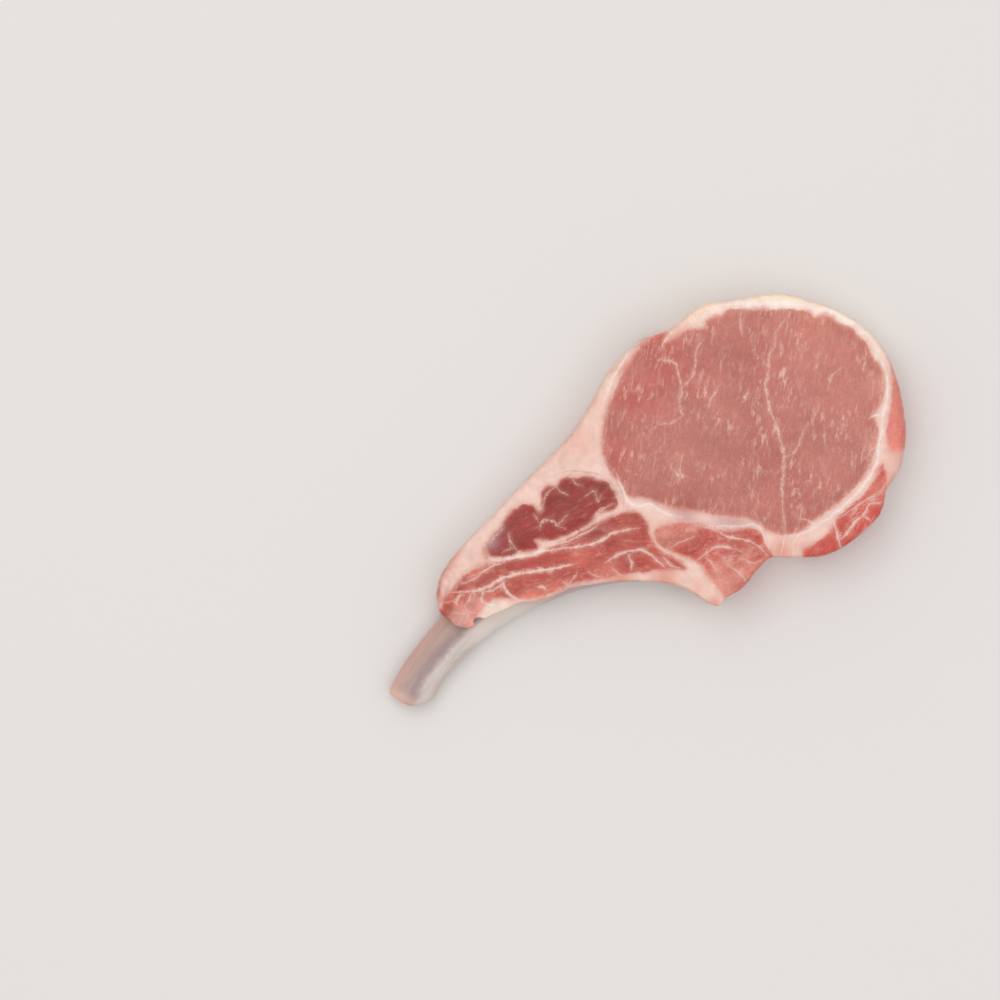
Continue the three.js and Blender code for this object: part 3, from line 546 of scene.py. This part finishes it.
class Shader:
    """A new material and short ways to add nodes to it. Each returns the new node's output."""

    def __init__(self, name):
        self.material = bpy.data.materials.new(name)
        self.material.use_nodes = True
        self.tree = self.material.node_tree
        self.tree.nodes.clear()

    def node(self, kind, inputs, out=0, **settings):
        made = self.tree.nodes.new(kind)
        for key, value in settings.items():
            setattr(made, key, value)
        for key, value in inputs.items():
            if isinstance(value, bpy.types.NodeSocket):
                self.tree.links.new(value, made.inputs[key])
            else:
                made.inputs[key].default_value = value
        return made.outputs[out]

    def math(self, kind, *values):
        return self.node("ShaderNodeMath", dict(enumerate(values)), operation=kind)

    def attribute(self, name, out="Fac"):
        return self.node("ShaderNodeAttribute", {}, out, attribute_name=name)

    def parts(self, vector):
        made = self.tree.nodes.new("ShaderNodeSeparateXYZ")
        self.tree.links.new(vector, made.inputs[0])
        return made.outputs

    def vector(self, *values):
        return self.node("ShaderNodeCombineXYZ", dict(enumerate(values)))

    def noise(self, vector, scale, detail=2.0, roughness=0.5):
        return self.node("ShaderNodeTexNoise", {
            "Vector": vector, "Scale": scale, "Detail": detail, "Roughness": roughness}, "Fac")

    def between(self, value, low, high, to_low=0.0, to_high=1.0):
        return self.node("ShaderNodeMapRange", {0: value, 1: low, 2: high, 3: to_low, 4: to_high},
                         interpolation_type="SMOOTHSTEP")

    def mix(self, factor, first, second):
        return self.node("ShaderNodeMix", {0: factor, 6: first, 7: second}, 2, data_type="RGBA")

    def scaled(self, vector, amount):
        return self.node("ShaderNodeVectorMath", {0: vector, 3: amount}, operation="SCALE")

    def millimetres(self):
        return self.scaled(self.node("ShaderNodeTexCoord", {}, "Object"), 1000.0)

    def surface(self, colour, roughness, height, bump_distance, **fixed):
        bump = self.node("ShaderNodeBump", {"Height": height, "Distance": bump_distance, "Strength": 0.6})
        inputs = {"Base Color": colour, "Roughness": roughness, "Normal": bump}
        inputs.update({key.replace("_", " "): value for key, value in fixed.items()})
        shader = self.node("ShaderNodeBsdfPrincipled", inputs)
        end = self.tree.nodes.new("ShaderNodeOutputMaterial")
        self.tree.links.new(shader, end.inputs[0])
        return self.material


def colour(code):
    return (*tint(code), 1.0)


# The further tones of the meat and the fat.
THIN_LEAN, FILM, FILM_SPOTS, PALE_SPECKS, PALE_BUNDLES = "df9f8e", "e2ab9c", "eab8aa", "dba598", "d3a090"
FLECKS, BRIGHT_FLECKS, THREADS = "e6bdae", "f0d6ca", "eacabc"
SEAM_HALO, VEIN_HALO, SEAM, SEAM_CORE, VEIN = "dc9686", "dcae9f", "dcaa9f", "ecd0c4", "e6c2b4"
FAT_CLOUDS, FAT_BORDER, FAT_SEAM, FAT_SEAM_CORE, DARK_LINE_TONE = "dfa79b", "d9988b", "f2dcd4", "f9ebe4", "a97a70"


def meat_material():
    s = Shader("raw_meat")
    spot = s.millimetres()
    across, along, strength = s.parts(s.attribute("grain", "Vector"))
    _, _, level = s.parts(spot)

    # Borders: the distance into the meat is shaken by coarse and fine noise, and the border is crisp in
    # some places and soft in others.
    coarse = s.math("SUBTRACT", s.noise(spot, 0.45, 2.0), 0.5)
    fine = s.math("SUBTRACT", s.noise(spot, 1.5, 3.0, 0.55), 0.5)
    slow = s.noise(spot, 0.13, 1.0)
    shake = s.math("ADD", s.math("MULTIPLY", coarse, 1.3), s.math("MULTIPLY", fine, 0.7))
    depth = s.math("ADD", s.attribute("lean_depth"), shake)
    soft = s.between(slow, 0.35, 0.65, 0.45, 1.3)
    lean = s.between(s.math("DIVIDE", depth, soft), -0.9, 0.9)

    # Lean meat: bundles of fibre as long light and dark bands and a fine grain, slow patches over them,
    # lighter at its borders where the meat is thin over fat.
    def stretched(wide, long, deep):
        return s.vector(s.math("MULTIPLY", across, wide), s.math("MULTIPLY", along, long),
                        s.math("MULTIPLY", level, deep))

    fibre = s.noise(stretched(1.6, 0.35, 0.1), 1.0, 2.0, 0.5)
    bands = s.noise(stretched(0.34, 0.05, 0.04), 1.0, 2.0, 0.5)
    patches = s.noise(spot, 0.09, 3.0, 0.6)
    light = s.math("ADD", s.between(fibre, 0.3, 0.7, 0.955, 1.045),
                   s.between(patches, 0.3, 0.7, -0.08, 0.08))
    banding = s.math("MULTIPLY", s.between(bands, 0.3, 0.7, -0.13, 0.13), s.math("SUBTRACT", 1.1, strength))
    meat = s.scaled(s.attribute("lean_tone", "Color"), s.math("ADD", light, banding))
    meat = s.scaled(meat, s.between(depth, 0.0, 2.4, 1.12, 1.0))
    meat = s.mix(s.between(depth, 1.5, -0.3, 0.0, 0.24), meat, colour(THIN_LEAN))
    clouds = s.math("MULTIPLY", s.between(s.noise(spot, 0.3, 4.0, 0.62), 0.5, 0.72), s.attribute("veil"))
    meat = s.mix(clouds, meat, colour(FILM))
    mottle = s.math("MULTIPLY", s.between(s.noise(spot, 1.0, 4.0, 0.65), 0.5, 0.72), s.attribute("veil"))
    meat = s.mix(s.math("MULTIPLY", mottle, 0.6), meat, colour(FILM_SPOTS))
    specks = s.noise(spot, 2.3, 3.0, 0.65)
    meat = s.scaled(meat, s.between(specks, 0.3, 0.7, 0.93, 1.06))
    meat = s.mix(s.between(specks, 0.6, 0.75, 0.0, 0.28), meat, colour(PALE_SPECKS))
    bundles = s.noise(stretched(0.5, 0.2, 0.05), 1.0, 2.0, 0.55)
    meat = s.mix(s.math("MULTIPLY", s.between(bundles, 0.5, 0.72), s.math("MULTIPLY", strength, 0.3)),
                 meat, colour(PALE_BUNDLES))

    # Marbling: short pale dashes along the grain and thin winding threads, gathered in patches.
    gathered = s.math("MULTIPLY", s.between(s.noise(spot, 0.1, 2.0), 0.4, 0.62, 0.12, 1.0), strength)
    flecks = s.between(s.noise(stretched(1.0, 0.3, 0.07), 1.0, 1.5), 0.53, 0.73)
    flecks = s.math("MULTIPLY", flecks, gathered)
    bright = s.between(s.noise(stretched(1.6, 0.5, 0.1), 1.0, 1.0), 0.66, 0.8)
    bright = s.math("MULTIPLY", bright, s.math("ADD", s.math("MULTIPLY", gathered, 0.7), 0.3))
    winding = s.noise(stretched(0.42, 0.16, 0.05), 1.0, 3.0, 0.6)
    winding = s.math("ABSOLUTE", s.math("SUBTRACT", winding, 0.52))
    threads = s.math("MULTIPLY", s.between(winding, 0.022, 0.004), gathered)
    threads = s.math("MULTIPLY", threads, s.between(s.noise(spot, 0.3, 2.0), 0.5, 0.62))
    meat = s.mix(s.math("MULTIPLY", flecks, 0.55), meat, colour(FLECKS))
    meat = s.mix(s.math("MULTIPLY", bright, s.math("MULTIPLY", strength, 0.4)), meat, colour(BRIGHT_FLECKS))
    meat = s.mix(s.math("MULTIPLY", threads, 0.4), meat, colour(THREADS))

    # Seams, veins and fine dark lines: drawn where the signed distance is within the line's half width,
    # which swells and shrinks along it, with a soft edge. Seams have a brighter core, and both they and
    # the veins a faint halo.
    swell = s.between(s.noise(spot, 0.38, 3.0, 0.6), 0.32, 0.68, 0.35, 1.75)

    def line(name, wobble, blur, share=1.0):
        signed, width, reach = s.parts(s.attribute(name, "Vector"))
        off = s.math("ADD", signed, s.math("MULTIPLY", coarse, wobble))
        off = s.math("ABSOLUTE", s.math("ADD", off, s.math("MULTIPLY", fine, 0.65)))
        half = s.math("MULTIPLY", s.math("MULTIPLY", width, swell), share)
        inside = s.between(s.math("SUBTRACT", half, off), -blur, blur)
        inside = s.math("MULTIPLY", inside, s.between(width, 0.12, 0.6, 0.5, 0.95))
        return s.math("MULTIPLY", inside, s.between(reach, -1.3, -0.5)), reach

    seams, seam_reach = line("seam", 1.1, 0.5, 1.15)
    cores, _ = line("seam", 1.1, 0.2, 0.45)
    veins, vein_reach = line("vein", 1.4, 0.3, 1.25)
    veins = s.math("MULTIPLY", veins, s.between(fine, -0.15, 0.12, 0.35, 1.2))
    meat = s.mix(s.math("MULTIPLY", s.between(seam_reach, -1.7, 0.0), 0.2), meat, colour(SEAM_HALO))
    meat = s.mix(s.math("MULTIPLY", s.between(vein_reach, -1.4, 0.0), 0.12), meat, colour(VEIN_HALO))
    meat = s.mix(s.math("MULTIPLY", seams, 0.85), meat, colour(SEAM))
    meat = s.mix(s.math("MULTIPLY", cores, 0.85), meat, colour(SEAM_CORE))
    meat = s.mix(veins, meat, colour(VEIN))

    # Fat: its own colour, a little mottled, pinker just outside the meat.
    lobes = s.noise(spot, 0.35, 4.0, 0.6)
    white = s.scaled(s.attribute("fat_tone", "Color"), s.between(lobes, 0.3, 0.7, 0.94, 1.06))
    white = s.mix(s.between(s.noise(spot, 0.22, 3.0, 0.6), 0.5, 0.75, 0.0, 0.4), white, colour(FAT_CLOUDS))
    white = s.mix(s.math("MULTIPLY", s.between(depth, -1.8, -0.2), 0.3), white, colour(FAT_BORDER))
    white = s.mix(s.math("MULTIPLY", seams, 0.5), white, colour(FAT_SEAM))
    white = s.mix(s.math("MULTIPLY", cores, 0.6), white, colour(FAT_SEAM_CORE))
    dark_lines, _ = line("dark_line", 0.8, 0.2)
    white = s.mix(s.math("MULTIPLY", dark_lines, 0.7), white, colour(DARK_LINE_TONE))
    whole = s.mix(lean, white, meat)

    height = s.math("ADD", s.math("MULTIPLY", s.noise(spot, 1.6, 4.0, 0.6), 0.6),
                    s.math("MULTIPLY", lean, s.math("MULTIPLY", fibre, 0.8)))
    roughness = s.between(s.noise(spot, 0.5, 3.0), 0.3, 0.7, 0.32, 0.5)
    return s.surface(whole, roughness, height, 0.0003, Subsurface_Weight=0.35, Subsurface_Scale=0.001,
                     Subsurface_Radius=(1.0, 0.4, 0.28), IOR=1.4, Specular_IOR_Level=0.35,
                     Coat_Weight=0.06, Coat_Roughness=0.2)


chop.data.materials.append(meat_material())
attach(chop, "root")
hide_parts("loin_eye", "dark_muscle", "rib_meat", "inner_muscle", "side_muscle", "fat_layer")

# The rib: a curved bone, oval in section, sawn at its bare tip and flat underneath where it lies on the
# table. A thin grey membrane covers it, pinker along its outer edge and clear over the inner one.
RIB_END_ROUNDING, RIB_END_SHARE = 1.3, 0.85
RIB_TIP_CURVE, RIB_TIP_MIDDLE = 0.03, 2.0
RIB_CORNER_CURVE, RIB_CORNER_FROM, RIB_TIP_RUN = 0.12, -1.0, 16
RIB_PATH_STEPS, RIB_STATIONS, RIB_END_STEPS, RIB_AROUND = 400, 200, 8, 96


def rib_sections():
    """Oval loops along the rib's line, with half width and half depth on powers of cosine and sine. At
    both ends they shrink along a quarter circle, and towards the tip each point moves back along the
    rib, a little by the square of its distance from a line beside the middle, and more by the square
    of how far it lies beyond a second line. So the tip is sawn nearly square, and its inner corner is
    cut away."""
    path = evenly(rib_line, RIB_PATH_STEPS)
    run = np.r_[0, np.cumsum(np.linalg.norm(np.diff(path[:, :2], axis=0), axis=1))]
    turn = np.linspace(0, np.pi / 2, RIB_END_STEPS + 1)[:-1]
    start = RIB_END_ROUNDING * (1 - np.cos(turn))
    length = np.linspace(RIB_END_ROUNDING, run[-1] - RIB_END_ROUNDING, RIB_STATIONS)
    at = np.r_[start, length, run[-1] - start[::-1]]
    share = 1 - (1 - RIB_END_SHARE) * (1 - np.sin(turn))
    share = np.r_[share, np.ones(RIB_STATIONS), share[::-1]][:, None]
    x, y, middle, half_width, half_depth = (np.interp(at, run, c)[:, None] for c in path.T)
    ahead = np.gradient(np.column_stack([x, y]), axis=0)
    ahead /= np.linalg.norm(ahead, axis=1, keepdims=True)
    angle = np.linspace(0, 2 * np.pi, RIB_AROUND, endpoint=False)[None]
    wide, deep = (np.sign(v) * np.abs(v) ** RIB_SECTION_POWER for v in (np.cos(angle), np.sin(angle)))
    wide, deep = wide * half_width * share, deep * half_depth * share
    uneven = 0.98 + 0.01 * ripple(at[:, None], wide, wave=11, seed=31)
    wide, deep = wide * uneven, deep * uneven
    back = RIB_TIP_CURVE * (wide - RIB_TIP_MIDDLE) ** 2
    back = back + RIB_CORNER_CURVE * (RIB_CORNER_FROM - wide).clip(0) ** 2
    back = back * (1 - smoothstep(0, RIB_TIP_RUN, at))[:, None]
    px = x - ahead[:, 1:] * wide + ahead[:, :1] * back
    py = y + ahead[:, :1] * wide + ahead[:, 1:] * back
    return np.dstack([px, py, np.maximum(middle + deep, 0)])


rib = lofted_mesh("rib_bare", rib_sections(), True)
x, y, z = corners_of(rib).T
_, across, (_, half_width, _), along = nearest_on(rib_line, x, y)
paint(rib, "place", np.column_stack([across / half_width, along, z]))


# The tones across the rib: its middle, outer edge, inner side and inner edge, a dark stripe, painted
# wet glints, the sawn tip, painted shade on the part by the meat and the white web beside it.
RIB_MIDDLE, RIB_OUTER, RIB_INNER, RIB_INNER_EDGE = "b3978d", "cfa59c", "cec2bc", "cfb3a8"
RIB_STRIPE, RIB_GLINTS, RIB_TIP, RIB_SHADED, RIB_WEB = "987f83", "e6dcd4", "e0b8a8", "bea3a2", "e4d9d1"


def rib_material():
    s = Shader("rib_membrane")
    spot = s.millimetres()
    across, along, level = s.parts(s.attribute("place", "Vector"))
    streak = s.noise(s.vector(s.math("MULTIPLY", across, 5.0), s.math("MULTIPLY", along, 0.12),
                              s.math("MULTIPLY", level, 0.4)), 1.0, 3.0, 0.55)
    shift = s.math("MULTIPLY", s.math("SUBTRACT", s.noise(spot, 0.12, 2.0), 0.5), 0.5)
    place = s.math("ADD", across, shift)
    tone = s.mix(s.between(place, 0.4, 1.0), colour(RIB_MIDDLE), colour(RIB_OUTER))
    tone = s.mix(s.between(place, 0.0, -0.45), tone, colour(RIB_INNER))
    stripe = s.between(s.math("ABSOLUTE", s.math("ADD", place, 0.04)), 0.45, 0.02)
    stripe = s.math("MULTIPLY", stripe, 0.66)
    tone = s.mix(stripe, tone, colour(RIB_STRIPE))
    # Painted highlights: small pale glints, as of wet shine, on the rib's inner side.
    glint = s.vector(s.math("MULTIPLY", across, 3.0), s.math("MULTIPLY", along, 0.45), level)
    glint = s.between(s.noise(glint, 1.0, 2.0), 0.6, 0.75)
    glint = s.math("MULTIPLY", glint, s.between(place, 0.0, -0.4, 0.0, 0.5))
    tone = s.mix(glint, tone, colour(RIB_GLINTS))
    tone = s.mix(s.math("MULTIPLY", s.between(place, -0.75, -0.95), 0.5), tone, colour(RIB_INNER_EDGE))
    tone = s.scaled(tone, s.between(streak, 0.3, 0.7, 0.93, 1.07))
    tip = s.math("MULTIPLY", s.between(along, 4.5, 0.8), s.between(place, -0.5, 0.9, 0.4, 0.9))
    tone = s.mix(tip, tone, colour(RIB_TIP))
    # Painted shade: the stretch of rib by and under the meat is darker.
    tone = s.mix(s.math("MULTIPLY", s.between(along, 40.0, 62.0), 0.85), tone, colour(RIB_SHADED))
    web = s.math("MULTIPLY", s.between(place, -0.1, -0.5), s.between(along, 24.0, 34.0))
    web = s.math("MULTIPLY", web, s.between(along, 62.0, 42.0, 0.0, 0.8))
    tone = s.mix(web, tone, colour(RIB_WEB))
    height = s.math("ADD", streak, s.noise(spot, 1.2, 3.0))
    return s.surface(tone, s.between(streak, 0.3, 0.7, 0.3, 0.42), height, 0.0002, Subsurface_Weight=0.3,
                     Subsurface_Scale=0.0012, Subsurface_Radius=(1.0, 0.7, 0.55), IOR=1.45,
                     Coat_Weight=0.15, Coat_Roughness=0.15)


rib.data.materials.append(rib_material())
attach(rib, "root")
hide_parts("rib_bone")

# The floor: a plain pale sheet under the part. The light is soft and from above, stronger from the
# part's upper left.
FLOOR_TONE, FLOOR_HALF = "e1dedc", 3
KEY_WATTS, FILL_WATTS, LAMP_SIZE, ROOM_STRENGTH = 11.6, 6.9, 1.5, 0.63
floor_mesh = bpy.data.meshes.new("floor")
corners = [(-FLOOR_HALF, -FLOOR_HALF, 0), (FLOOR_HALF, -FLOOR_HALF, 0), (FLOOR_HALF, FLOOR_HALF, 0),
           (-FLOOR_HALF, FLOOR_HALF, 0)]
floor_mesh.from_pydata(corners, [], [(0, 1, 2, 3)])
floor = bpy.data.objects.new("floor", floor_mesh)
bpy.context.scene.collection.objects.link(floor)
pale = Shader("pale_floor")
floor_mesh.materials.append(pale.surface(colour(FLOOR_TONE), 0.6, pale.noise(
    pale.node("ShaderNodeTexCoord", {}, "Object"), 60.0), 0.0001))


def area_light(name, place, aim, size, watts):
    """A square soft light at a place, turned to face a point."""
    lamp = bpy.data.lights.new(name, "AREA")
    lamp.size, lamp.energy = size, watts
    holder = bpy.data.objects.new(name, lamp)
    way = np.array(aim, float) - place
    holder.location = place
    holder.rotation_euler = (math.acos(-way[2] / np.linalg.norm(way)), 0, math.atan2(-way[0], way[1]))
    bpy.context.scene.collection.objects.link(holder)


area_light("key", (-0.45, 0.55, 1.8), (0, 0, 0), LAMP_SIZE, KEY_WATTS)
area_light("fill", (0.5, -0.45, 1.8), (0, 0, 0), LAMP_SIZE, FILL_WATTS)
world = bpy.data.worlds.new("soft_room")
bpy.context.scene.world = world
world.use_nodes = True
world.node_tree.nodes["Background"].inputs["Color"].default_value = (1.0, 0.99, 0.98, 1.0)
world.node_tree.nodes["Background"].inputs["Strength"].default_value = ROOM_STRENGTH
bpy.context.scene.view_settings.view_transform = "Standard"

# The camera: straight above the part, 1.5 m up, on a long lens that takes in 300 mm at the part's mid
# height, the photograph's frame.
VIEW_HEIGHT, VIEW_WIDTH, VIEW_X, MID_HEIGHT, SENSOR = 1.5, 0.3, -0.0441, 0.0095, 36
lens = bpy.data.cameras.new("camera")
lens.sensor_width = SENSOR
lens.lens = SENSOR * VIEW_HEIGHT / VIEW_WIDTH
camera = bpy.data.objects.new("camera", lens)
camera.location = (VIEW_X, 0, MID_HEIGHT + VIEW_HEIGHT)
bpy.context.scene.collection.objects.link(camera)
bpy.context.scene.camera = camera
